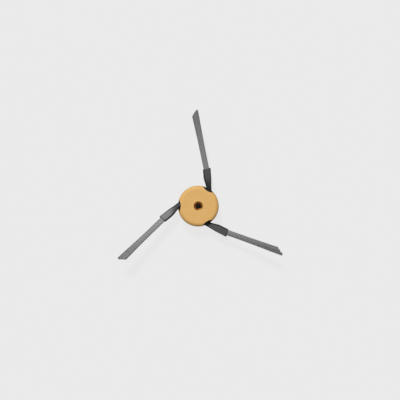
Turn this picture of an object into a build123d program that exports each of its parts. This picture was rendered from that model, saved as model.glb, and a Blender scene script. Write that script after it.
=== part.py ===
from build123d import *
from itertools import cycle
from math import atan2, cos, degrees, hypot, radians, sin, sqrt, tan
import os

# Side brush of a robot vacuum, in millimetres: a two-part hub clamps the roots of three rubber
# arms, and each arm ends in a sleeve that holds a flat tuft of nylon filaments.
# The origin is on the spin axis at the face that seats on the robot. +Z points along that axis
# to the side that meets the floor, and the brush lies on its seat face with the arms in the air.

# Hub
arm_count = 3
hub_radius = 16.5
hub_height = 17.0
skirt_wall = 1.6
top_wall = 2.0
rim_round = 3.0
fit_gap = 0.1  # between moulded pieces that seat in each other

# Base
base_height = 6.2
base_floor = 1.6
base_chamfer = 0.6
seat_ring_width = 2.3
rib_count = 6
rib_width = 1.2

# Drive socket and screw
shaft_diameter = 7.0
shaft_flats = 5.4  # across the two flats of the drive shaft
socket_lift = 0.5  # mouth of the socket above the seat face
socket_depth = 4.7
socket_lead = 0.4  # chamfer at the mouth
boss_wall = 1.7
screw_web = 1.4
screw_radius = 2.2
recess_radius = 3.6  # takes the screw's head and the driver
recess_chamfer = 0.4
recess_wall = 1.6
recess_floor = 0.8  # the part of the cover that the screw's head clamps

# Pegs that pass through the arm roots into the cover
peg_radius = 1.6
peg_grip = 1.6  # length held in the cover
peg_chamfer = 0.3
peg_socket_gap = 0.05
peg_socket_wall = 1.0

# Arm root and the pocket that clamps it
root_angle = 27.1
arm_swing = 68.6  # arm's heading from the radial line through its root
root_length = 5.6
root_width = 6.0
root_height = 5.8
root_chamfer = 0.8
root_margin = 0.6  # root's outer corner to the skirt
pocket_wall = 1.2
neck_gap = 0.3  # neck to the walls of its channel
flex_room = 2.3  # room for the neck to bend back at the rim

# Notches in the rim, over the necks
notch_radius = 9.0
notch_depth = 2.4
notch_shift = 1.0  # degrees to the trailing side of the arm's line

# Neck and flare
neck_width = 3.8
neck_height = 3.9
neck_round = 1.2
neck_lift = 0.5  # neck above the base
neck_rise = 3.0  # sleeve above the neck
flare_inset = 0.7  # the flare starts this far inside the rim
flare_length = 10.5
flare_steps = 4
flare_shift = 0.6  # sleeve's centre line to the trailing side of the neck's
arm_pitch = 8.0  # rise towards the floor that is swept
arm_roll = 15.0  # leading edge towards the robot
arm_leans = (-1.3, 3.0, -2.6)  # how far each soft neck has set from its moulded heading

# Sleeve
sleeve_length = 6.4
sleeve_round = 0.7
sleeve_side_wall = 0.75
sleeve_face_wall = 0.8
mouth_slant = 9.0  # the leading side is the longer
mouth_chamfer = 0.25
slot_depth = 5.0
slot_gap = 0.06  # round the tuft

# Tuft
filament_diameter = 0.36
filament_gap = 0.03
filament_sides = 6
filament_columns = 11
filament_rows = 5
tuft_length = 45.7  # from the sleeve's mouth to the middle of the cut
tuft_yaws = (7.4, 5.5, 8.1)  # each tuft's heading from its sleeve's, to the trailing side
tuft_spread = 0.9  # gain in width from the sleeve to the tips
tip_slant = 47.0  # cut across the tips, from the tuft's own line

# Heights
ceiling = hub_height - top_wall
socket_top = socket_lift + socket_depth
boss_top = socket_top + screw_web
recess_bottom = boss_top + recess_floor
root_top = base_height + root_height
peg_top = root_top + peg_grip
neck_axis = base_height + neck_lift + neck_height / 2

# Radii
cavity_radius = hub_radius - skirt_wall
boss_radius = shaft_diameter / 2 + boss_wall
tube_radius = recess_radius + recess_wall
ring_radius = hub_radius - seat_ring_width
corner_reach = max(
    hypot(root_length / 2 - root_chamfer, root_width / 2),
    hypot(root_length / 2, root_width / 2 - root_chamfer),
)
root_radius = cavity_radius - corner_reach - root_margin

# Where the arm's centre line passes the rim, along the arm and round the hub
root_across = root_radius * sin(radians(arm_swing))
root_along = root_radius * cos(radians(arm_swing))
rim_run = sqrt(hub_radius**2 - root_across**2) - root_along
notch_turn = arm_swing - degrees(atan2(root_across, root_along + rim_run)) + notch_shift
flare_start = rim_run - flare_inset
flare_end = flare_start + flare_length
bend_start = root_length / 2
flare_runs = [flare_start + flare_length * step / flare_steps for step in range(flare_steps + 1)]
section_runs = [bend_start, (bend_start + flare_start) / 2] + flare_runs

# Tuft, slot and sleeve sections
filament_pitch = filament_diameter + filament_gap
row_pitch = filament_pitch * sqrt(3) / 2
half_row = (filament_columns - 1) * filament_pitch / 2
half_stack = (filament_rows - 1) * row_pitch / 2
fan_slope = tuft_spread / 2 / tuft_length
slot_width = 2 * (half_row + fan_slope * slot_depth + slot_gap) + filament_diameter
slot_height = 2 * (half_stack + slot_gap) + filament_diameter
sleeve_width = slot_width + 2 * sleeve_side_wall
sleeve_height = slot_height + 2 * sleeve_face_wall
mouth_room = tan(radians(mouth_slant)) * sleeve_width / 2

arm_roots = [
    Rotation(0, 0, root_angle + arm * 360 / arm_count) * Location((root_radius, 0, 0), (0, 0, arm_swing))
    for arm in range(arm_count)
]
arm_sets = list(zip(arm_roots, cycle(arm_leans), cycle(tuft_yaws)))


# A smooth step from 0 to 1 between two distances along the arm
def ease(run, start, end):
    share = min(max((run - start) / (end - start), 0), 1)
    return share**2 * (3 - 2 * share)


# The area under that step: how far a turn that grows with it carries the centre line
def eased_run(run, start, end):
    share = min(max((run - start) / (end - start), 0), 1)
    return (end - start) * (share**3 - share**4 / 2) + max(run - end, 0)


# Frame at a distance along the arm: X forward, Y to the trailing side, Z up
def arm_frame(root, lean, run):
    flare = ease(run, flare_start, flare_end)
    bend = ease(run, bend_start, flare_start)
    aside = flare_shift * flare + tan(radians(lean)) * eased_run(run, bend_start, flare_start)
    rise = neck_rise * ease(run, bend_start, flare_end)
    rise += tan(radians(arm_pitch)) * eased_run(run, flare_start, flare_end)
    place = root * Location((run, aside, neck_axis + rise))
    heading = Rotation(0, 0, lean * bend) * Rotation(0, -arm_pitch * flare, 0)
    return place * heading * Rotation(arm_roll * flare, 0, 0)


# The plane across the arm, or across the tuft, at a frame
def cross_plane(frame):
    return Plane(frame * Plane.YZ.location)


# Round corners of a sketch by three flats that touch the round's arc: a cut, trimmed at both ends
def round_corners(corners, radius):
    chamfer(corners, length=radius * (2 - sqrt(2)))
    chamfer(vertices(Select.LAST), length=radius * (tan(radians(90 / 4)) - tan(radians(90 / 8))))


# Section of the arm at a distance along it
def arm_section(run):
    flare = ease(run, flare_start, flare_end)
    width = neck_width + (sleeve_width - neck_width) * flare
    height = neck_height + (sleeve_height - neck_height) * flare
    corner = neck_round + (sleeve_round - neck_round) * flare
    Rectangle(width, height)
    round_corners(vertices(), corner)


# Frame at the bottom of the slot in a sleeve, along its tuft
def slot_frame(root, lean, yaw):
    aside = tan(radians(yaw)) * slot_depth / 2
    mouth = arm_frame(root, lean, flare_end) * Location((sleeve_length, aside, 0))
    return mouth * Rotation(0, 0, yaw) * Location((-slot_depth, 0, 0))


# Plans of a root, of its pocket and of the channel that its neck leaves by
with BuildSketch() as root_plan:
    Rectangle(root_length, root_width)
    chamfer(vertices(), length=root_chamfer)

channel_end = rim_run + hub_radius / 2  # well outside the rim
neck_room = neck_width / 2 + neck_gap
rim_room = neck_width / 2 + flex_room
with BuildSketch() as pocket:
    add(root_plan.sketch)
    offset(amount=fit_gap, kind=Kind.INTERSECTION)
    with BuildLine():
        Polyline(
            (0, -neck_room),
            (channel_end, -neck_room),
            (channel_end, rim_room),
            (rim_run, rim_room),
            (root_length / 2 + fit_gap, neck_room),
            (0, neck_room),
            close=True,
        )
    make_face()

with BuildSketch() as pocket_walls:
    add(pocket.sketch)
    offset(amount=pocket_wall, kind=Kind.INTERSECTION)
    add(pocket.sketch, mode=Mode.SUBTRACT)

# Hub base: seat ring, floor and boss turned in one, then ribs, drive socket and pegs
with BuildPart() as hub_base:
    with BuildSketch(Plane.XZ):
        with BuildLine():
            Polyline(
                (ring_radius, 0),
                (hub_radius - base_chamfer, 0),
                (hub_radius, base_chamfer),
                (hub_radius, base_height),
                (boss_radius, base_height),
                (boss_radius, boss_top),
                (screw_radius, boss_top),
                (screw_radius, socket_lift),
                (boss_radius, socket_lift),
                (boss_radius, base_height - base_floor),
                (ring_radius, base_height - base_floor),
                close=True,
            )
        make_face()
    revolve(axis=Axis.Z)
    with BuildSketch(Plane.XY.offset(socket_lift)):
        with PolarLocations(boss_radius - boss_wall / 2, rib_count):
            Rectangle(ring_radius - boss_radius + boss_wall, rib_width, align=(Align.MIN, Align.CENTER))
    extrude(amount=base_height - base_floor - socket_lift)
    with BuildSketch(Plane.XY.offset(socket_lift)):
        Circle(shaft_diameter / 2)
        Rectangle(shaft_diameter, shaft_flats, mode=Mode.INTERSECT)
    extrude(amount=socket_depth, mode=Mode.SUBTRACT)
    socket_mouth = hub_base.faces().filter_by(Plane.XY).group_by(Axis.Z)[1].face().inner_wires()
    chamfer(socket_mouth.edges(), length=socket_lead)
    with BuildSketch(Plane.XY.offset(base_height)):
        with Locations(*arm_roots):
            Circle(peg_radius)
    extrude(amount=peg_top - base_height)
    chamfer(hub_base.edges().group_by(Axis.Z)[-1], length=peg_chamfer)

# Hub cover: cap and screw tube turned in one, then pockets, peg sockets and notches
with BuildPart() as hub_cover:
    with BuildSketch(Plane.XZ):
        with BuildLine():
            Polyline(
                (recess_radius + recess_chamfer, hub_height),
                (recess_radius, hub_height - recess_chamfer),
                (recess_radius, recess_bottom),
                (screw_radius, recess_bottom),
                (screw_radius, boss_top),
                (tube_radius, boss_top),
                (tube_radius, ceiling),
                (cavity_radius, ceiling),
                (cavity_radius, base_height),
                (hub_radius, base_height),
                (hub_radius, hub_height),
                close=True,
            )
        make_face()
        round_corners(vertices().group_by(Axis.Y)[-1].sort_by(Axis.X)[-1], rim_round)
    revolve(axis=Axis.Z)
    with BuildSketch(Plane.XY.offset(base_height)):
        with Locations(*arm_roots):
            add(pocket.sketch)
    extrude(amount=ceiling - base_height, mode=Mode.SUBTRACT)
    with BuildSketch(Plane.XY.offset(base_height)):
        with Locations(*arm_roots):
            add(pocket_walls.sketch)
        Circle(cavity_radius + skirt_wall / 2, mode=Mode.INTERSECT)
    extrude(amount=ceiling - base_height)
    with BuildSketch(Plane.XY.offset(root_top + fit_gap)):
        with Locations(*arm_roots):
            Circle(peg_radius + peg_socket_gap + peg_socket_wall)
    extrude(amount=ceiling - root_top - fit_gap)
    with BuildSketch(Plane.XY.offset(root_top)):
        with Locations(*arm_roots):
            Circle(peg_radius + peg_socket_gap)
    extrude(amount=peg_top + fit_gap - root_top, mode=Mode.SUBTRACT)
    with BuildSketch(Plane.XY.offset(base_height)):
        with PolarLocations(hub_radius - notch_depth + notch_radius, arm_count, root_angle + notch_turn):
            Circle(notch_radius)
    extrude(amount=hub_height - base_height, mode=Mode.SUBTRACT)

# Rubber arms: root block, neck and flare, then the sleeve and the slot in it
arms = []
for root, lean, yaw in arm_sets:
    with BuildPart() as arm:
        with BuildSketch(Plane(root * Location((0, 0, base_height)))):
            add(root_plan.sketch)
            Circle(peg_radius + fit_gap, mode=Mode.SUBTRACT)
        extrude(amount=root_height)
        for run in section_runs:
            with BuildSketch(cross_plane(arm_frame(root, lean, run))):
                arm_section(run)
        loft()
        with BuildSketch(cross_plane(arm_frame(root, lean, flare_end))):
            arm_section(flare_end)
        extrude(amount=sleeve_length + mouth_room)
        mouth = cross_plane(
            arm_frame(root, lean, flare_end) * Location((sleeve_length, 0, 0), (0, 0, mouth_slant))
        )
        split(bisect_by=mouth, keep=Keep.BOTTOM)
        chamfer(arm.faces().sort_by_distance(mouth.origin)[0].edges(), length=mouth_chamfer)
        with BuildSketch(cross_plane(slot_frame(root, lean, yaw))):
            Rectangle(slot_width, slot_height)
        extrude(amount=slot_depth + slot_width, mode=Mode.SUBTRACT)
    arms.append(arm)

# Bristle tufts: filaments packed in staggered rows, fanned out and cut on a slant
tufts = []
for root, lean, yaw in arm_sets:
    seat = slot_frame(root, lean, yaw) * Location((slot_gap, 0, 0))
    with BuildPart() as tuft:
        for place in range(2 * filament_columns - 1):
            across = place * filament_pitch / 2 - half_row
            fan = degrees(fan_slope * across / half_row)
            with BuildSketch(cross_plane(seat * Location((0, across, 0), (0, 0, fan)))):
                for row in range(place % 2, filament_rows, 2):
                    with Locations((0, row * row_pitch - half_stack)):
                        RegularPolygon(filament_diameter / 2, filament_sides)
        extrude(amount=slot_depth + tuft_length + slot_width / tan(radians(tip_slant)))
        cut = seat * Location((slot_depth + tuft_length, 0, 0), (0, 0, 90 - tip_slant))
        split(bisect_by=cross_plane(cut), keep=Keep.BOTTOM)
    tufts.append(tuft)

# Names and files
os.makedirs("parts", exist_ok=True)
hub_base.part.label = "hub_base"
export_step(hub_base.part, "parts/hub_base.step")
hub_cover.part.label = "hub_cover"
export_step(hub_cover.part, "parts/hub_cover.step")
for number, (arm, tuft) in enumerate(zip(arms, tufts), start=1):
    arm.part.label = f"arm_{number}"
    export_step(arm.part, f"parts/arm_{number}.step")
    tuft.part.label = f"bristle_tuft_{number}"
    export_step(tuft.part, f"parts/bristle_tuft_{number}.step")
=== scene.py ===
import bmesh
import bpy
import random
from math import cos, pi, radians, sin, tan
from mathutils import Matrix, Vector


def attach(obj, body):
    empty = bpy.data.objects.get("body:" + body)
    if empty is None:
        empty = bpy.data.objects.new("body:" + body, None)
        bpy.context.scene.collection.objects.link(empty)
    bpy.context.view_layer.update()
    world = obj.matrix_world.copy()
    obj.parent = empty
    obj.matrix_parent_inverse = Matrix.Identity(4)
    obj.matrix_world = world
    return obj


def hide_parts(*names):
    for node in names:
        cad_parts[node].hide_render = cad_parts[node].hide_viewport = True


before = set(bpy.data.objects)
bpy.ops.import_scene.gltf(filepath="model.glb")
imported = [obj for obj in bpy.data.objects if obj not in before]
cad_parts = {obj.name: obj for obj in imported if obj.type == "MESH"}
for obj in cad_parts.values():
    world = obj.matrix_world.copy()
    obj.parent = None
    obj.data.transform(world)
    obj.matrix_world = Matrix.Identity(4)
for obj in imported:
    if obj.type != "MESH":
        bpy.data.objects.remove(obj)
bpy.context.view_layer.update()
mm = 0.001
print("frame loaded:", ", ".join(sorted(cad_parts)))

# The hub and the lines that the arms follow, in millimetres, as in the solids
hub = {
    "radius": 16.5,
    "seatTop": 6.2,  # top of the base, where the cover sits
    "bossTop": 6.6,
    "recessBottom": 7.4,  # where the screw's head sits
    "top": 17.0,
    "bossRadius": 5.2,
    "screwRadius": 2.2,
    "pegRadius": 1.6,
    "pegTop": 13.6,
    "pegSteps": 32,
    "ceiling": 15.0,  # underside of the cover's top
}
armLine = {
    "count": 3,
    "rootAngle": 27.1,
    "rootRadius": 10.69,
    "swing": 68.6,  # heading from the radial line through the root
    "leans": (-1.3, 3.0, -2.6),  # how each soft neck has set
    "axis": 8.65,  # height of the neck's middle
    "rise": 3.0,  # sleeve above the neck
    "bendStart": 2.8,
    "flareStart": 8.56,
    "flareEnd": 19.06,
    "mouth": 25.46,
    "shift": 0.6,
    "pitch": 8.0,
    "roll": 15.0,
    "mouthSlant": 9.0,  # the leading side is the longer
    "tuftYaws": (7.4, 5.5, 8.1),
    "slotDepth": 5.0,
}


def smooth(value, start, end):
    share = min(max((value - start) / (end - start), 0), 1)
    return share * share * (3 - 2 * share)


def smoothRun(value, start, end):  # area under that step
    share = min(max((value - start) / (end - start), 0), 1)
    return (end - start) * (share**3 - share**4 / 2) + max(value - end, 0)


def turn(angle, axis):
    return Matrix.Rotation(radians(angle), 4, axis)


def ahead(run):
    return Matrix.Translation((run, 0, 0))


def rootAngle(arm):
    return armLine["rootAngle"] + arm * 360 / armLine["count"]


def rootFrame(arm):
    return turn(rootAngle(arm), "Z") @ ahead(armLine["rootRadius"]) @ turn(armLine["swing"], "Z")


# X forward along the arm, Y to its trailing side, Z up
def armFrame(arm, run):
    lean, pitch = armLine["leans"][arm], armLine["pitch"]
    bendStart, flareStart, flareEnd = armLine["bendStart"], armLine["flareStart"], armLine["flareEnd"]
    bend = smooth(run, bendStart, flareStart)
    flare = smooth(run, flareStart, flareEnd)
    drift = tan(radians(lean)) * smoothRun(run, bendStart, flareStart)
    rise = armLine["rise"] * smooth(run, bendStart, flareEnd)
    rise += tan(radians(pitch)) * smoothRun(run, flareStart, flareEnd)
    spot = Matrix.Translation((run, armLine["shift"] * flare + drift, armLine["axis"] + rise))
    heading = turn(lean * bend, "Z") @ turn(-pitch * flare, "Y")
    return rootFrame(arm) @ spot @ heading @ turn(armLine["roll"] * flare, "X")


# The sleeve is straight, so its mouth is straight ahead of the flare's end
def mouthFrame(arm):
    return armFrame(arm, armLine["flareEnd"]) @ ahead(armLine["mouth"] - armLine["flareEnd"])


def tuftFrame(arm):  # at the slot's bottom
    yaw = armLine["tuftYaws"][arm]
    aside = tan(radians(yaw)) * armLine["slotDepth"] / 2
    mouth = mouthFrame(arm) @ Matrix.Translation((0, aside, 0)) @ turn(yaw, "Z")
    return mouth @ ahead(-armLine["slotDepth"])


# Modelling helpers, in millimetres and degrees
modelling = {
    "mergeGap": 0.001,
    "spill": 1.0,  # a cutting tool reaches this far past what it cuts
    "bevelSegments": 2,
    "bevelAngle": 50,  # only sharper edges are softened
    "arcSteps": 4,  # on a small rounded corner
    "arcStepsPerMm": 3,  # more on a larger one
}


def startRing(name, count):
    bpy.ops.object.select_all(action="DESELECT")
    bpy.ops.mesh.primitive_circle_add(vertices=count, radius=mm)
    piece = bpy.context.object
    piece.name = name
    piece.data.name = name
    numbers = piece.data.attributes.new("number", "INT", "POINT")  # kept through every extrude
    numbers.data.foreach_set("value", range(count))
    return piece


# Extrudes the ring once for each next place, where pointAt(number) is in millimetres
def growRings(piece, places):
    bpy.ops.object.mode_set(mode="EDIT")
    bpy.ops.mesh.select_all(action="SELECT")
    for step, pointAt in enumerate(places):
        if step:
            bpy.ops.mesh.extrude_region()
        mesh = bmesh.from_edit_mesh(piece.data)
        number = mesh.verts.layers.int["number"]
        for vert in mesh.verts:
            if vert.select:
                vert.co = Vector(pointAt(vert[number])) * mm
        bmesh.update_edit_mesh(piece.data)


def closeRings(piece, capped):
    if capped:
        bpy.ops.mesh.edge_face_add()  # the last ring is still selected
        bpy.ops.mesh.select_all(action="DESELECT")
        bpy.ops.mesh.select_non_manifold()
        bpy.ops.mesh.edge_face_add()
    bpy.ops.mesh.select_all(action="SELECT")
    bpy.ops.mesh.remove_doubles(threshold=modelling["mergeGap"] * mm)
    bpy.ops.mesh.normals_make_consistent(inside=False)
    bpy.ops.object.mode_set(mode="OBJECT")


def cutOrAdd(piece, tools, operation):
    for tool in tools:
        change = piece.modifiers.new("change", "BOOLEAN")
        change.operation = operation
        change.solver = "EXACT"
        change.object = tool
        bpy.context.view_layer.objects.active = piece
        bpy.ops.object.modifier_apply(modifier=change.name)
        bpy.data.objects.remove(tool)


def soften(piece, width):
    bevel = piece.modifiers.new("soften", "BEVEL")
    bevel.width = width * mm
    bevel.segments = modelling["bevelSegments"]
    bevel.limit_method = "ANGLE"
    bevel.angle_limit = radians(modelling["bevelAngle"])
    bpy.context.view_layer.objects.active = piece
    bpy.ops.object.modifier_apply(modifier=bevel.name)


def circleAt(r, z, count):
    return lambda n: (r * cos(2 * pi * n / count), r * sin(2 * pi * n / count), z)


def circleOutline(radius, count):
    return [circleAt(radius, 0, count)(n)[:2] for n in range(count)]


# A straight bar with this outline, between two heights, turned and moved by a matrix
def prism(outline, low, high, place):
    bar = startRing("bar", len(outline))
    growRings(bar, [lambda n, z=z: place @ Vector((*outline[n], z)) for z in (low, high)])
    closeRings(bar, capped=True)
    return bar


# Corners of a radius-and-height profile, each rounded by its own radius with a few steps
def roundedProfile(corners):
    points = []
    for n, (r, z, bend) in enumerate(corners):
        here = Vector((r, z))
        if not bend:
            points.append((r, z))
            continue
        back = (Vector(corners[n - 1][:2]) - here).normalized()
        onward = (Vector(corners[(n + 1) % len(corners)][:2]) - here).normalized()
        half = back.angle(onward) / 2
        steps = round(modelling["arcSteps"] + modelling["arcStepsPerMm"] * bend)
        middle = here + (back + onward).normalized() * bend / sin(half)
        start = here + back * bend / tan(half) - middle
        sweep = start.angle_signed(here + onward * bend / tan(half) - middle)
        for step in range(steps + 1):
            spoke = start.copy()
            spoke.rotate(Matrix.Rotation(-sweep * step / steps, 2))
            points.append(tuple(middle + spoke))
    return points


def dress(piece, material, node, smoothAngle):
    bpy.ops.object.select_all(action="DESELECT")
    piece.select_set(True)
    bpy.context.view_layer.objects.active = piece
    bpy.ops.object.shade_smooth_by_angle(angle=radians(smoothAngle))
    piece.data.materials.clear()
    piece.data.materials.append(material)
    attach(piece, "root")
    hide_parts(node)


# Materials
def hexColour(code):  # sRGB to linear
    shares = [int(code[n:n + 2], 16) / 255 for n in (0, 2, 4)]
    linear = [s / 12.92 if s <= 0.04045 else ((s + 0.055) / 1.055) ** 2.4 for s in shares]
    return (*linear, 1)


def addNode(tree, kind, links=None, **settings):
    node = tree.nodes.new(kind)
    for name, value in settings.items():
        setattr(node, name, value)
    for socket, value in (links or {}).items():
        if isinstance(value, bpy.types.NodeSocket):
            tree.links.new(value, node.inputs[socket])
        else:
            node.inputs[socket].default_value = value
    return node


def startMaterial(name):
    material = bpy.data.materials.new(name)
    material.use_nodes = True
    material.node_tree.nodes.clear()
    return material, material.node_tree


# Moulded ABS from a spark-eroded mould: an even satin skin with a fine grain and faint clouds of colour
def mouldedAbs(name, light, dark, roughness):
    look = {
        "cloud": 5.0,  # mm, as are the next two
        "grain": 0.3,  # drawn coarser than it is
        "grainDepth": 0.012,
        "grainStrength": 0.5,
        "roughnessSpread": 0.05,  # either way, with the clouds
        "ior": 1.53,
    }
    material, tree = startMaterial(name)
    place = addNode(tree, "ShaderNodeTexCoord").outputs["Object"]
    cloud = addNode(
        tree, "ShaderNodeTexNoise",
        {"Vector": place, "Scale": 1 / (look["cloud"] * mm), "Detail": 3},
    ).outputs["Fac"]
    colour = addNode(
        tree, "ShaderNodeMix",
        {"Factor": cloud, 6: hexColour(dark), 7: hexColour(light)},
        data_type="RGBA",
    )
    grain = addNode(
        tree, "ShaderNodeTexNoise",
        {"Vector": place, "Scale": 1 / (look["grain"] * mm), "Detail": 2},
    )
    bump = addNode(
        tree, "ShaderNodeBump",
        {
            "Height": grain.outputs["Fac"],
            "Strength": look["grainStrength"],
            "Distance": look["grainDepth"] * mm,
        },
    )
    spread = look["roughnessSpread"]
    gloss = addNode(
        tree, "ShaderNodeMapRange",
        {"Value": cloud, "To Min": roughness + spread, "To Max": roughness - spread},
    )
    skin = addNode(
        tree, "ShaderNodeBsdfPrincipled",
        {
            "Base Color": colour.outputs[2],
            "Roughness": gloss.outputs["Result"],
            "IOR": look["ior"],
            "Normal": bump.outputs["Normal"],
        },
    )
    addNode(tree, "ShaderNodeOutputMaterial", {"Surface": skin.outputs["BSDF"]})
    return material


# Moulded thermoplastic rubber: a dull dark skin, with a low sheen and painted light on the faces of the
# sleeves
def mouldedRubber():
    look = {
        "dark": ("18181A", "1F1F21"),
        # the pale pair is painted light, for the faces of the sleeves
        "pale": ("474749", "535355"),
        "roughness": (0.8, 0.5),  # of those two
        "patch": 2.6,  # mm, as are the next two
        "grain": 0.22,
        "grainDepth": 0.01,
        "grainStrength": 0.5,
        "ior": 1.52,
    }
    material, tree = startMaterial("mouldedRubberGrey")
    place = addNode(tree, "ShaderNodeTexCoord").outputs["Object"]
    patch = addNode(
        tree, "ShaderNodeTexNoise",
        {"Vector": place, "Scale": 1 / (look["patch"] * mm), "Detail": 4},
    ).outputs["Fac"]
    # pale: painted light on the sleeves' faces, painted shade on their sides, lips and necks
    pale = addNode(tree, "ShaderNodeAttribute", attribute_name="pale").outputs["Fac"]
    skins = [
        addNode(
            tree, "ShaderNodeMix",
            {"Factor": patch, 6: hexColour(look[skin][0]), 7: hexColour(look[skin][1])},
            data_type="RGBA",
        ).outputs[2]
        for skin in ("dark", "pale")
    ]
    colour = addNode(
        tree, "ShaderNodeMix",
        {"Factor": pale, 6: skins[0], 7: skins[1]},
        data_type="RGBA",
    )
    grain = addNode(
        tree, "ShaderNodeTexNoise",
        {"Vector": place, "Scale": 1 / (look["grain"] * mm), "Detail": 2},
    )
    bump = addNode(
        tree, "ShaderNodeBump",
        {
            "Height": grain.outputs["Fac"],
            "Strength": look["grainStrength"],
            "Distance": look["grainDepth"] * mm,
        },
    )
    gloss = addNode(
        tree, "ShaderNodeMapRange",
        {"Value": pale, "To Min": look["roughness"][0], "To Max": look["roughness"][1]},
    )
    skin = addNode(
        tree, "ShaderNodeBsdfPrincipled",
        {
            "Base Color": colour.outputs[2],
            "Roughness": gloss.outputs["Result"],
            "IOR": look["ior"],
            "Normal": bump.outputs["Normal"],
        },
    )
    addNode(tree, "ShaderNodeOutputMaterial", {"Surface": skin.outputs["BSDF"]})
    return material


# Drawn nylon filament: fine strands with a soft sheen, no two of quite the same grey, with light and
# shade painted into the greys
def drawnNylon():
    look = {
        "dark": "767678",
        "light": "AEAEB0",
        "scuff": 1.4,  # mm
        "roughness": (0.6, 0.72),
        "ior": 1.53,
    }
    material, tree = startMaterial("drawnNylonGrey")
    # Each filament's grey: random tone, plus painted light and shade from its tuft, clump and place
    toneAndPaintedLight = addNode(tree, "ShaderNodeAttribute", attribute_name="toneAndPaintedLight").outputs["Fac"]
    colour = addNode(
        tree, "ShaderNodeMix",
        {"Factor": toneAndPaintedLight, 6: hexColour(look["dark"]), 7: hexColour(look["light"])},
        data_type="RGBA",
    )
    place = addNode(tree, "ShaderNodeTexCoord").outputs["Object"]
    scuff = addNode(
        tree, "ShaderNodeTexNoise",
        {"Vector": place, "Scale": 1 / (look["scuff"] * mm), "Detail": 2},
    )
    gloss = addNode(
        tree, "ShaderNodeMapRange",
        {"Value": scuff.outputs["Fac"], "To Min": look["roughness"][0], "To Max": look["roughness"][1]},
    )
    skin = addNode(
        tree, "ShaderNodeBsdfPrincipled",
        {
            "Base Color": colour.outputs[2],
            "Roughness": gloss.outputs["Result"],
            "IOR": look["ior"],
        },
    )
    addNode(tree, "ShaderNodeOutputMaterial", {"Surface": skin.outputs["BSDF"]})
    return material


ochreAbs = mouldedAbs("mouldedAbsOchre", "DCAE66", "D4A45A", 0.65)
blackAbs = mouldedAbs("mouldedAbsBlack", "14110F", "0D0B0A", 0.35)
greyRubber = mouldedRubber()
greyNylon = drawnNylon()
print("materials ready")

# Cover: an ochre cap with a rounded rim, a notch over each neck and a deep screw recess
cover = {
    "steps": 360,
    "rimRound": 3.0,
    "flatInside": 1.0,  # past the recess, and the next before the rim's rounding: the top between is flat
    "flatOutside": 0.5,
    "notchRadius": 9.0,
    "notchDepth": 2.4,
    "notchTurn": 32.47,  # from the root round to where its arm passes the rim
    "notchSteps": 120,
    "edgeBevel": 0.15,
    "recessRadius": 3.6,
    "recessRound": 0.4,
    "floorRound": 0.2,
    "footRound": 0.15,
    "bossGap": 0.1,
    "pegGap": 0.05,  # round a peg, and the next above it
    "pegRoom": 0.1,
    "rootLength": 5.8,
    "rootWidth": 6.2,
    "rootTop": 12.1,
    "channelSide": 2.2,
    "channelRoom": 4.2,  # the neck may bend back this far
    "rimRun": 9.26,
    "smoothAngle": 35,
}


def coverProfile():
    bossHole = hub["bossRadius"] + cover["bossGap"]
    return roundedProfile([
        (hub["screwRadius"], hub["bossTop"], 0),
        (hub["screwRadius"], hub["recessBottom"], cover["floorRound"]),
        (cover["recessRadius"], hub["recessBottom"], cover["floorRound"]),
        (cover["recessRadius"], hub["top"], cover["recessRound"]),
        (cover["recessRadius"] + cover["flatInside"], hub["top"], 0),
        (hub["radius"] - cover["rimRound"] - cover["flatOutside"], hub["top"], 0),
        (hub["radius"], hub["top"], cover["rimRound"]),
        (hub["radius"], hub["seatTop"], cover["footRound"]),
        (bossHole, hub["seatTop"], 0),
        (bossHole, hub["bossTop"], 0),
    ])


# What is cut away for one arm: its root's pocket, the neck's channel, the peg's socket and the notch
def coverCuts(arm):
    half = cover["rootLength"] / 2, cover["rootWidth"] / 2
    pocket = [(-half[0], -half[1]), (half[0], -half[1]), (half[0], half[1]), (-half[0], half[1])]
    side, room, far = cover["channelSide"], cover["channelRoom"], 2 * cover["rimRun"]
    channel = [(0, -side), (far, -side), (far, room), (cover["rimRun"], room), (half[0], side), (0, side)]
    socket = circleOutline(hub["pegRadius"] + cover["pegGap"], hub["pegSteps"])
    notch = circleOutline(cover["notchRadius"], cover["notchSteps"])
    notchMiddle = hub["radius"] - cover["notchDepth"] + cover["notchRadius"]
    outward = turn(rootAngle(arm) + cover["notchTurn"], "Z") @ ahead(notchMiddle)
    root, spill = rootFrame(arm), modelling["spill"]
    low = hub["seatTop"] - spill
    return [
        prism(pocket, low, cover["rootTop"], root),
        prism(channel, low, hub["ceiling"], root),
        prism(socket, cover["rootTop"] - spill, hub["pegTop"] + cover["pegRoom"], root),
        prism(notch, low, hub["top"] + spill, outward),
    ]


def makeCover():
    places = [circleAt(r, z, cover["steps"]) for r, z in coverProfile()]
    places.append(places[0])
    piece = startRing("coverMoulding", cover["steps"])
    growRings(piece, places)
    closeRings(piece, capped=False)
    for arm in range(armLine["count"]):
        cutOrAdd(piece, coverCuts(arm), "DIFFERENCE")
    soften(piece, cover["edgeBevel"])
    dress(piece, ochreAbs, "hub_cover", cover["smoothAngle"])


makeCover()
print("cover moulded")

# Base: seat ring, ribbed underside, drive socket with two flats and the pegs for the arm roots
base = {
    "steps": 180,
    "chamfer": 0.6,
    "ringInner": 14.2,
    "floorUnder": 4.6,
    "socketLow": 0.5,
    "socketTop": 5.2,
    "socketLead": 0.4,
    "shaftRadius": 3.5,
    "shaftFlat": 2.7,
    "edgeRound": 0.2,
    "ribs": 6,
    "ribWidth": 1.2,
    "ribStep": 0.05,  # the ribs end this far above the socket's end
    "pegChamfer": 0.3,
    "sunk": 0.5,  # ribs and pegs go this far into what carries them
    "smoothAngle": 35,
}


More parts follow.
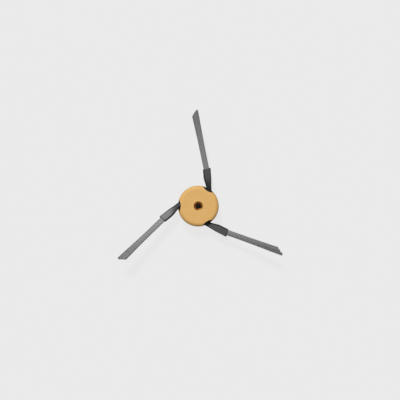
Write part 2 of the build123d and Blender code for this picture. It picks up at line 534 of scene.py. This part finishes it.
def basePlaces():
    spin = 2 * pi / base["steps"]
    soft, low, lead = base["edgeRound"], base["socketLow"], base["socketLead"]

    def socket(grow, z):
        radius, flat = base["shaftRadius"] + grow, base["shaftFlat"] + grow
        return lambda n: (radius * cos(spin * n), min(max(radius * sin(spin * n), -flat), flat), z)

    outer = roundedProfile([
        (base["shaftRadius"] + lead, low, 0),
        (hub["bossRadius"], low, soft),
        (hub["bossRadius"], base["floorUnder"], soft),
        (base["ringInner"], base["floorUnder"], soft),
        (base["ringInner"], 0, soft),
        (hub["radius"] - base["chamfer"], 0, soft),
        (hub["radius"], base["chamfer"], soft),
        (hub["radius"], hub["seatTop"], soft),
        (hub["bossRadius"], hub["seatTop"], soft),
        (hub["bossRadius"], hub["bossTop"], soft),
        (hub["screwRadius"], hub["bossTop"], soft),
        (hub["screwRadius"], base["socketTop"], 0),
    ])
    places = [socket(0, base["socketTop"]), socket(0, low + lead), socket(lead, low)]
    places += [circleAt(r, z, base["steps"]) for r, z in outer[1:]]
    places.append(places[0])
    return places


def makeRib(number):
    wide, sunk = base["ribWidth"] / 2, base["sunk"]
    near, far = hub["bossRadius"] - sunk, base["ringInner"] + sunk
    bar = [(near, -wide), (far, -wide), (far, wide), (near, wide)]
    low, high = base["socketLow"] + base["ribStep"], base["floorUnder"] + sunk
    return prism(bar, low, high, turn(number * 360 / base["ribs"], "Z"))


def makePeg(arm):
    root, steps = rootFrame(arm), hub["pegSteps"]
    profile = [
        (hub["pegRadius"], hub["seatTop"] - base["sunk"]),
        (hub["pegRadius"], hub["pegTop"] - base["pegChamfer"]),
        (hub["pegRadius"] - base["pegChamfer"], hub["pegTop"]),
    ]
    rings = [circleAt(r, z, steps) for r, z in profile]
    peg = startRing("peg", steps)
    growRings(peg, [lambda n, pointAt=pointAt: root @ Vector(pointAt(n)) for pointAt in rings])
    closeRings(peg, capped=True)
    return peg


def makeBase():
    piece = startRing("baseMoulding", base["steps"])
    growRings(piece, basePlaces())
    closeRings(piece, capped=False)
    ribs = [makeRib(number) for number in range(base["ribs"])]
    pegs = [makePeg(arm) for arm in range(armLine["count"])]
    cutOrAdd(piece, ribs + pegs, "UNION")
    dress(piece, blackAbs, "hub_base", base["smoothAngle"])


makeBase()
print("base moulded")

# Rubber arms: a root block with its peg hole, a neck that flares into a flat sleeve, and the tuft's slot
rubber = {
    "neck": (3.8, 3.9, 1.2),  # width, height and corner, as in the next two
    "sleeve": (5.89, 3.43, 0.7),
    "slot": (4.48, 1.83, 0.25),
    "leastCorner": 0.05,
    "cornerSteps": 5,
    "stretches": (0.0, 0.5, 1.0),  # mm that each sleeve reaches past its plain length
    "sunk": 0.6,  # the neck starts this far inside the root
    "neckSteps": 5,
    "flareSteps": 18,
    "sleeveSteps": 4,
    "lip": 0.25,
    "lipSteps": 3,
    "slotLead": 0.03,  # the slot's mouth is wider by this on each side, and the next is how deep
    "leadDepth": 0.35,
    "seam": 0.1,  # flash left where the halves of the mould met, and the next is half its foot
    "seamHalf": 0.15,
    "rootSize": (5.6, 6.0, 5.8),
    "rootChamfer": 0.8,
    "holeGap": 0.1,
    "paintedLightRuns": ((8, 20.5), (-4, 14), (0, 12)),  # mm along each arm over which the painted light fades in, set for how light falls on each arm
    "paintedLightFacing": (0.93, 0.995),  # cosine between a point's normal and the face's, from painted shade on the sides to painted light
    "smoothAngle": 40,
}


# Places round a section with rounded corners and a moulding seam halfway up each side
def sectionPlaces():
    places = []
    for quarter in range(4):
        for step in range(rubber["cornerSteps"] + 1):
            places.append(("corner", quarter, radians(90 * (quarter + step / rubber["cornerSteps"]))))
        if quarter % 2:
            side = 1 if quarter == 3 else -1
            places += [("seam", side, shift * side) for shift in (-1, 0, 1)]
    return places


armPlaces = sectionPlaces()


def sectionPoint(number, width, height, corner, seam):
    kind, where, amount = armPlaces[number]
    if kind == "seam":
        return where * (width / 2 + (0 if amount else seam)), amount * rubber["seamHalf"]
    middleY = (width / 2 - corner) * (1 if where in (0, 3) else -1)
    middleZ = (height / 2 - corner) * (1 if where in (0, 1) else -1)
    return middleY + corner * cos(amount), middleZ + corner * sin(amount)


# One ring of an arm; slanted is the share of the mouth's slant that it has
def armRing(place, size, seam=0, inset=0, run=0, aside=0, slanted=0):
    width, height, corner = size
    corner = max(corner - inset, rubber["leastCorner"])
    slope = tan(radians(armLine["mouthSlant"])) * slanted

    def point(n):
        y, z = sectionPoint(n, width - 2 * inset, height - 2 * inset, corner, seam)
        return place @ Vector((run - slope * y, y + aside, z))
    return point


def neckAndFlare(arm):
    bendStart, flareStart, flareEnd = armLine["bendStart"], armLine["flareStart"], armLine["flareEnd"]
    neck, flare = flareStart - bendStart, flareEnd - flareStart
    runs = [bendStart - rubber["sunk"]]
    runs += [bendStart + step * neck / rubber["neckSteps"] for step in range(rubber["neckSteps"])]
    runs += [flareStart + flare * step / rubber["flareSteps"] for step in range(rubber["flareSteps"] + 1)]
    places = []
    for run in runs:
        share = smooth(run, flareStart, flareEnd)
        size = [a + (b - a) * share for a, b in zip(rubber["neck"], rubber["sleeve"])]
        places.append(armRing(armFrame(arm, run), size, seam=rubber["seam"]))
    return places


def sleeveAndSlot(arm):
    stretch, depth, lip = rubber["stretches"][arm], armLine["slotDepth"], rubber["lip"]
    mouth = mouthFrame(arm) @ ahead(stretch)
    length = armLine["mouth"] + stretch - armLine["flareEnd"]
    sleeve = {"place": mouth, "size": rubber["sleeve"], "seam": rubber["seam"]}
    places = []
    for step in range(1, rubber["sleeveSteps"]):
        share = step / rubber["sleeveSteps"]
        places.append(armRing(**sleeve, run=length * (share - 1), slanted=share))
    for step in range(rubber["lipSteps"] + 1):
        angle = pi / 2 * step / rubber["lipSteps"]
        inset, back = lip * (1 - cos(angle)), lip * (1 - sin(angle))
        places.append(armRing(**sleeve, inset=inset, run=-back, slanted=1))
    aside = tan(radians(armLine["tuftYaws"][arm])) * (depth / 2 + stretch)
    behind = tan(radians(armLine["mouthSlant"])) * aside
    slot, inside = rubber["slot"], tuftFrame(arm)
    places.append(armRing(mouth, slot, inset=-rubber["slotLead"], run=-behind, aside=aside, slanted=1))
    places.append(armRing(inside, slot, run=depth + stretch - rubber["leadDepth"]))
    places.append(armRing(inside, slot))
    return places


def rootBlock(arm):
    long, wide, high = rubber["rootSize"]
    trim = rubber["rootChamfer"]
    outline = [(long / 2 - trim, wide / 2), (long / 2, wide / 2 - trim)]  # a corner, then the other three
    outline += [(x, -y) for x, y in reversed(outline)]
    outline += [(-x, y) for x, y in reversed(outline)]
    return prism(outline, hub["seatTop"], hub["seatTop"] + high, rootFrame(arm))


def pegHole(arm):
    outline = circleOutline(hub["pegRadius"] + rubber["holeGap"], hub["pegSteps"])
    return prism(outline, 0, hub["top"], rootFrame(arm))


# Painted light on a sleeve's faces, fading out along the flare or the neck; painted shade on its sides
# and lip
def paintSleeveLight(piece, arm):
    back = rootFrame(arm).inverted()
    marks = piece.data.attributes.new("pale", "FLOAT", "POINT")
    for vert in piece.data.vertices:
        run = (back @ (vert.co / mm)).x
        facing = abs(vert.normal.dot(armFrame(arm, run).col[2].xyz))
        along = smooth(run, *rubber["paintedLightRuns"][arm])
        marks.data[vert.index].value = along * smooth(facing, *rubber["paintedLightFacing"])


def makeArm(arm):
    piece = startRing(f"rubberArm{arm + 1}", len(armPlaces))
    growRings(piece, neckAndFlare(arm) + sleeveAndSlot(arm))
    closeRings(piece, capped=True)
    cutOrAdd(piece, [rootBlock(arm)], "UNION")
    cutOrAdd(piece, [pegHole(arm)], "DIFFERENCE")
    paintSleeveLight(piece, arm)
    dress(piece, greyRubber, f"arm_{arm + 1}", rubber["smoothAngle"])


for arm in range(armLine["count"]):
    makeArm(arm)
print("arms moulded")

# Tufts: fine filaments that fan out, lean together in clumps and end on an uneven slant
tuft = {
    "radius": 0.11,
    "sides": 6,
    "cuts": 6,  # along a filament, so that it can bend
    "columns": 18,
    "rows": 8,
    "stagger": 0.5,  # from row to row, as a share of the columns' spacing
    "width": 4.2,  # between the outermost filaments, in the slot
    "height": 1.5,
    "lengths": (51.2, 51.5, 50.6),  # from the slot's bottom to the middle of the cut
    "start": 0.1,
    "fan": 0.003,  # sideways per millimetre of run, for each millimetre from the middle
    "splays": (0.21, 0.28, 0.18),  # share by which each tuft widens further towards its tips
    "splayFrom": 26.0,
    "bows": (0.0, 0.0, -0.4),  # mm that each tuft has set aside at its tips
    "slant": 51.0,
    "worn": 1.8,  # the point of the cut is worn back to this far past its middle
    "clumps": (  # from the leading side of each tuft: tone from dark to light, and mm left longer; the tones also carry painted light, lighter on the second tuft and darker on the third
        ((0.42, 0.0), (0.56, 0.6), (0.56, 0.5), (0.44, 0.0)),
        ((0.6, -0.3), (0.84, 0.4), (1.0, 0.1), (0.5, 0.0)),
        ((0.04, 1.2), (0.2, 1.8), (0.46, 0.6), (0.5, 0.0)),
    ),
    "clumpSpread": 0.06,  # share of the width by which the clumps' borders differ
    "pull": 0.08,  # how far a clump's filaments close up towards its middle at the tips
    "crown": 0.2,  # how much flatter a clump is at its edges
    "loosening": 8.0,  # mm past the slot in which the clumps take that form
    "freeAt": 1.1,  # of the length: where a filament would be as free as it can be
    "drift": 0.12,  # mm by which a clump strays there, and the next by which a filament does
    "stray": 0.03,
    "jitter": 0.08,  # share of the filaments' spacing
    "ragged": 0.15,  # between the filaments, at the cut
    "strandTone": 0.04,
    "edgePaintedShade": 0.15,  # painted shade: the outermost filaments are darker
    "edgePower": 4,
    "tipTone": 0.25,  # the filaments also darken towards their tips
    "seed": 7,
    "smoothAngle": 65,
}


def filamentBlank():  # one unit long
    bpy.ops.object.select_all(action="DESELECT")
    bpy.ops.mesh.primitive_cylinder_add(
        vertices=tuft["sides"], radius=tuft["radius"], depth=1, location=(0, 0, 0.5),
    )
    blank = bpy.context.object
    bpy.ops.object.transform_apply(location=True)
    bpy.ops.object.mode_set(mode="EDIT")
    bpy.ops.mesh.select_mode(type="EDGE")
    bpy.ops.mesh.select_all(action="DESELECT")
    mesh = bmesh.from_edit_mesh(blank.data)
    for edge in mesh.edges:
        if abs(edge.verts[0].co.z - edge.verts[1].co.z) > 0.5:  # the long ones
            edge.select = True
    bmesh.update_edit_mesh(blank.data)
    bpy.ops.mesh.subdivide(number_cuts=tuft["cuts"])
    bpy.ops.object.mode_set(mode="OBJECT")
    return blank


def makeClumps(arm, draw):
    looks = tuft["clumps"][arm]
    count, spread = len(looks), tuft["clumpSpread"]
    borders = [n / count + draw.uniform(-spread, spread) for n in range(1, count)]
    clumps = []
    for (toneAndPaintedLight, longer), low, high in zip(looks, [0] + borders, borders + [1]):
        clumps.append({
            "high": high,
            "half": (high - low) / 2 * tuft["width"],
            "middle": ((low + high) / 2 - 0.5) * tuft["width"],
            "drift": (draw.gauss(0, tuft["drift"]), draw.gauss(0, tuft["drift"])),
            "toneAndPaintedLight": toneAndPaintedLight,
            "longer": longer,
        })
    return clumps


def spreadAt(arm, run):
    splay = tuft["splays"][arm] * smooth(run, tuft["splayFrom"], tuft["lengths"][arm])
    return 1 + tuft["fan"] * run + splay


# Where one filament starts and ends, how it strays and how dark it is
def planStrand(arm, column, row, clumps, draw):
    jitter, length = tuft["jitter"], tuft["lengths"][arm]
    offset = 0.5 + tuft["stagger"] * (row % 2 - 0.5)
    share = (column + offset + draw.uniform(-jitter, jitter)) / tuft["columns"]
    y = (share - 0.5) * tuft["width"]
    z = ((row + draw.uniform(-jitter, jitter)) / (tuft["rows"] - 1) - 0.5) * tuft["height"]
    clump = next(c for c in clumps if share <= c["high"])
    stray = draw.gauss(0, tuft["stray"]), draw.gauss(0, tuft["stray"])
    past = min(-tan(radians(90 - tuft["slant"])) * y * spreadAt(arm, length), tuft["worn"])
    end = length + past + clump["longer"] + draw.gauss(0, tuft["ragged"])
    shade = clump["toneAndPaintedLight"] + draw.gauss(0, tuft["strandTone"])
    return {
        "y": y,
        "z": z,
        "middle": clump["middle"],
        "aside": tuft["bows"][arm] + clump["drift"][0] + stray[0],
        "up": clump["drift"][1] + stray[1],
        "end": end,
        "flatter": tuft["crown"] * ((y - clump["middle"]) / clump["half"]) ** 2,
        # painted shade at the tuft's edges, on top of the clump's tone with its painted light
        "shade": shade - tuft["edgePaintedShade"] * abs(2 * share - 1) ** tuft["edgePower"],
    }


def makeStrand(arm, blank, plan):
    strand = bpy.data.objects.new("strand", blank.data.copy())
    bpy.context.collection.objects.link(strand)
    place, slotEnd = tuftFrame(arm), armLine["slotDepth"]
    shades = []
    for vert in strand.data.vertices:
        run = tuft["start"] + (plan["end"] - tuft["start"]) * vert.co.z
        free = smooth(run, slotEnd, tuft["lengths"][arm] * tuft["freeAt"])
        loose = smooth(run, slotEnd, slotEnd + tuft["loosening"])
        spread = spreadAt(arm, run)
        line = plan["y"] * spread
        line += (plan["middle"] * spread - line) * tuft["pull"] * free + plan["aside"] * free
        rise = plan["z"] * (1 - plan["flatter"] * loose) + plan["up"] * free
        vert.co = place @ Vector((run, line + vert.co.y, rise + vert.co.x)) * mm
        shades.append(plan["shade"] - tuft["tipTone"] * free)
    tones = strand.data.attributes.new("toneAndPaintedLight", "FLOAT", "POINT")
    tones.data.foreach_set("value", shades)
    return strand


def makeTuft(arm, blank):
    draw = random.Random(tuft["seed"] + arm)
    clumps = makeClumps(arm, draw)
    strands = []
    for column in range(tuft["columns"]):
        for row in range(tuft["rows"]):
            strands.append(makeStrand(arm, blank, planStrand(arm, column, row, clumps, draw)))
    bpy.ops.object.select_all(action="DESELECT")
    for strand in strands:
        strand.select_set(True)
    bpy.context.view_layer.objects.active = strands[0]
    bpy.ops.object.join()
    piece = bpy.context.object
    piece.name = f"bristleTuft{arm + 1}"
    bpy.ops.object.mode_set(mode="EDIT")
    bpy.ops.mesh.select_all(action="SELECT")
    bpy.ops.mesh.normals_make_consistent(inside=False)
    bpy.ops.object.mode_set(mode="OBJECT")
    dress(piece, greyNylon, f"bristle_tuft_{arm + 1}", tuft["smoothAngle"])


filament = filamentBlank()
for arm in range(armLine["count"]):
    makeTuft(arm, filament)
bpy.data.objects.remove(filament)
print("tufts bound")

# Stage: a pale floor with painted shade under the hub, one soft key from the top of the picture, and even
# sky light
stage = {
    "floorMatt": "9C9C9C",  # what the light falls on
    "floorPale": "F5F5F5",  # what is seen
    "paleShare": 0.85,  # the rest shows the shadow
    "paintedShadeRadius": 14.0,  # mm from the spin axis: inside it the floor is painted dim, as painted shade under the hub
    # what is left of the pale share in the painted shade under the hub
    "paintedShadeShare": 0.004,
    "floorSize": 12.0,  # m
    "sky": 0.28,
    "keyPower": 2.80,
    "keyWidth": 12,  # degrees, as are the next two
    "keyAzimuth": 108,
    "keyTilt": 36,  # from straight above
}


def makeFloor():
    bpy.ops.object.select_all(action="DESELECT")
    bpy.ops.mesh.primitive_plane_add(size=stage["floorSize"])
    floor = bpy.context.object
    floor.name = "floor"
    material, tree = startMaterial("paleFloor")
    place = addNode(tree, "ShaderNodeTexCoord").outputs["Object"]
    apart = addNode(tree, "ShaderNodeVectorMath", {0: place}, operation="LENGTH")
    # Painted shade: inside that radius the floor's pale share drops, so under the hub it shows dark
    outside = addNode(
        tree, "ShaderNodeMath",
        {0: apart.outputs["Value"], 1: stage["paintedShadeRadius"] * mm},
        operation="GREATER_THAN",
    )
    clear = addNode(
        tree, "ShaderNodeMapRange",
        {"Value": outside.outputs[0], "To Min": stage["paintedShadeShare"], "To Max": stage["paleShare"]},
    )
    path = addNode(tree, "ShaderNodeLightPath")
    mirrored = addNode(
        tree, "ShaderNodeMath",
        {0: path.outputs["Is Glossy Ray"], 1: path.outputs["Is Transmission Ray"]},
        operation="MAXIMUM",
    )
    seen = addNode(
        tree, "ShaderNodeMath",
        {0: path.outputs["Is Camera Ray"], 1: mirrored.outputs[0]},
        operation="MAXIMUM",
    )
    factor = addNode(
        tree, "ShaderNodeMath",
        {0: seen.outputs[0], 1: clear.outputs["Result"]},
        operation="MULTIPLY",
    )
    matt = addNode(tree, "ShaderNodeBsdfDiffuse", {"Color": hexColour(stage["floorMatt"])})
    pale = addNode(tree, "ShaderNodeEmission", {"Color": hexColour(stage["floorPale"])})
    mix = addNode(
        tree, "ShaderNodeMixShader",
        {0: factor.outputs[0], 1: matt.outputs["BSDF"], 2: pale.outputs["Emission"]},
    )
    addNode(tree, "ShaderNodeOutputMaterial", {"Surface": mix.outputs["Shader"]})
    floor.data.materials.append(material)


def makeLight():
    world = bpy.data.worlds.new("paleSky")
    bpy.context.scene.world = world
    world.use_nodes = True
    sky = world.node_tree.nodes["Background"]
    sky.inputs["Color"].default_value = (1, 1, 1, 1)
    sky.inputs["Strength"].default_value = stage["sky"]
    bpy.ops.object.light_add(type="SUN")
    key = bpy.context.object
    key.data.energy = stage["keyPower"]
    key.data.angle = radians(stage["keyWidth"])
    tilt, azimuth = radians(stage["keyTilt"]), radians(stage["keyAzimuth"])
    source = Vector((sin(tilt) * cos(azimuth), sin(tilt) * sin(azimuth), cos(tilt)))
    key.rotation_euler = source.to_track_quat("Z", "Y").to_euler()


# Camera: straight above, as in the photograph, with a long lens
lens = {
    "focal": 100,
    "sensor": 36,
    "frameWidth": 322.0,  # mm across the picture at the height of the hub's top
    "centre": (1.37, 4.91),
    "farthest": 10,  # m
}


def makeCamera():
    height = lens["frameWidth"] * lens["focal"] / lens["sensor"] + hub["top"]
    bpy.ops.object.camera_add(location=Vector((*lens["centre"], height)) * mm, rotation=(0, 0, 0))
    camera = bpy.context.object
    camera.data.lens = lens["focal"]
    camera.data.sensor_width = lens["sensor"]
    camera.data.clip_end = lens["farthest"]
    bpy.context.scene.camera = camera


makeFloor()
makeLight()
makeCamera()
bpy.context.scene.view_settings.view_transform = "Standard"
print("stage set")
